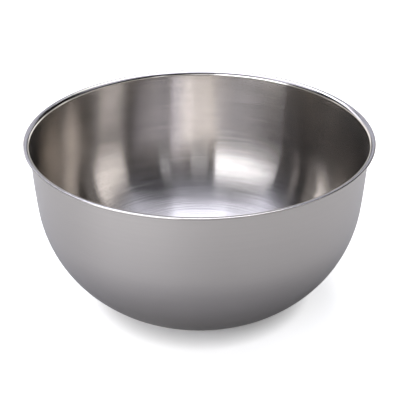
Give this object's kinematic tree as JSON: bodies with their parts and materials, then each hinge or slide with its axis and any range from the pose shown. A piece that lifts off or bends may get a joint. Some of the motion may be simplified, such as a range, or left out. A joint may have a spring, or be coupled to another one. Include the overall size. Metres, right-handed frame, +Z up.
{
  "type": "mixing bowl",
  "caption": "Deep round mixing bowl drawn from stainless steel sheet, with a steep wall, a round belly, a flat foot ring and a narrow folded rim.",
  "frame": {"origin": "centre of the base, on the surface that the bowl stands on", "axes": "+Z up along the bowl's axis of revolution, towards the mouth; +X to the right and +Y away in the picture"},
  "size_m": [0.24, 0.24, 0.125],
  "materials": {
    "bowl": "satin outside, brushed in circles inside, polished rim"
  },
  "bodies": {
    "root": {"bowl": "bowl"}
  },
  "joints": []
}
